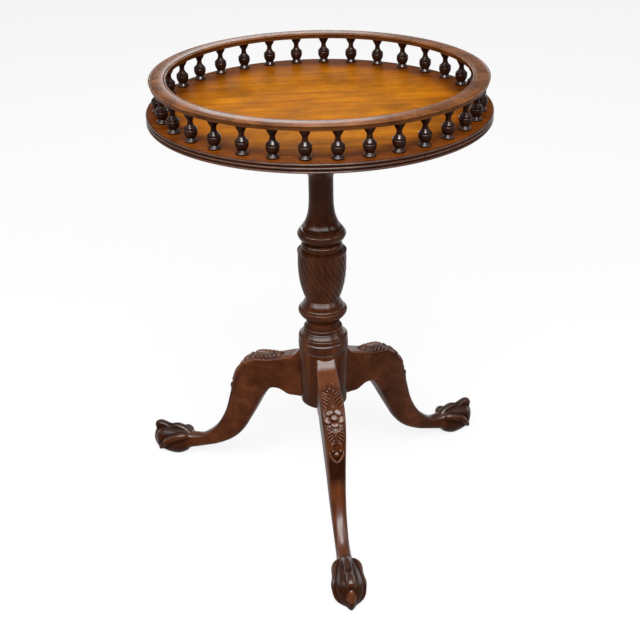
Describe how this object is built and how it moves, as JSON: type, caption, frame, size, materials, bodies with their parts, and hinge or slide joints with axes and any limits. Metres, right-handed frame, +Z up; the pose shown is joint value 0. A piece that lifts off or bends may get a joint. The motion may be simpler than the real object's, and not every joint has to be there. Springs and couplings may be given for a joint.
{
  "type": "pedestal wine table",
  "caption": "Small round pedestal table: a tray top with a turned spindle gallery on a turned, spiral-fluted pillar with cabriole legs and claw-and-ball feet.",
  "frame": {"origin": "on the floor under the centre of the table's bounding box; the pillar's axis stands 39.4 mm behind it, towards +Y", "axes": "+Z up along the pillar, the front leg towards -Y, +X to the right seen from the front"},
  "size_m": [0.571, 0.5782, 0.71],
  "materials": {
    "amber_mahogany": "satin polished, golden amber-brown",
    "rail_mahogany": "gloss polished, mid red-brown",
    "ebonised_mahogany": "gloss polished, near-black brown",
    "dark_mahogany": "gloss polished, dark brown",
    "leg_mahogany": "gloss polished, dark red-brown",
    "plain_beech": "bare, unfinished",
    "steel": "plain zinc-dulled steel"
  },
  "bodies": {
    "root": {"top_board": "amber_mahogany", "rail_arc_1": "rail_mahogany", "rail_arc_2": "rail_mahogany", "rail_arc_3": "rail_mahogany", "spindle_01": "ebonised_mahogany", "spindle_02": "ebonised_mahogany", "spindle_03": "ebonised_mahogany", "spindle_04": "ebonised_mahogany", "spindle_05": "ebonised_mahogany", "spindle_06": "ebonised_mahogany", "spindle_07": "ebonised_mahogany", "spindle_08": "ebonised_mahogany", "spindle_09": "ebonised_mahogany", "spindle_10": "ebonised_mahogany", "spindle_11": "ebonised_mahogany", "spindle_12": "ebonised_mahogany", "spindle_13": "ebonised_mahogany", "spindle_14": "ebonised_mahogany", "spindle_15": "ebonised_mahogany", "spindle_16": "ebonised_mahogany", "spindle_17": "ebonised_mahogany", "spindle_18": "ebonised_mahogany", "spindle_19": "ebonised_mahogany", "spindle_20": "ebonised_mahogany", "spindle_21": "ebonised_mahogany", "spindle_22": "ebonised_mahogany", "spindle_23": "ebonised_mahogany", "spindle_24": "ebonised_mahogany", "spindle_25": "ebonised_mahogany", "spindle_26": "ebonised_mahogany", "spindle_27": "ebonised_mahogany", "spindle_28": "ebonised_mahogany", "spindle_29": "ebonised_mahogany", "spindle_30": "ebonised_mahogany", "spindle_31": "ebonised_mahogany", "spindle_32": "ebonised_mahogany", "spindle_33": "ebonised_mahogany", "pillar_shaft": "dark_mahogany", "pillar_urn": "dark_mahogany", "pillar_hub": "dark_mahogany", "hub_cap": "dark_mahogany", "leg_front": "leg_mahogany", "leg_right": "leg_mahogany", "leg_left": "leg_mahogany", "top_block": "plain_beech", "tenon_wedge": "plain_beech", "block_screw_1": "steel", "block_screw_2": "steel", "block_screw_3": "steel", "block_screw_4": "steel", "cap_screw": "steel"}
  },
  "joints": []
}
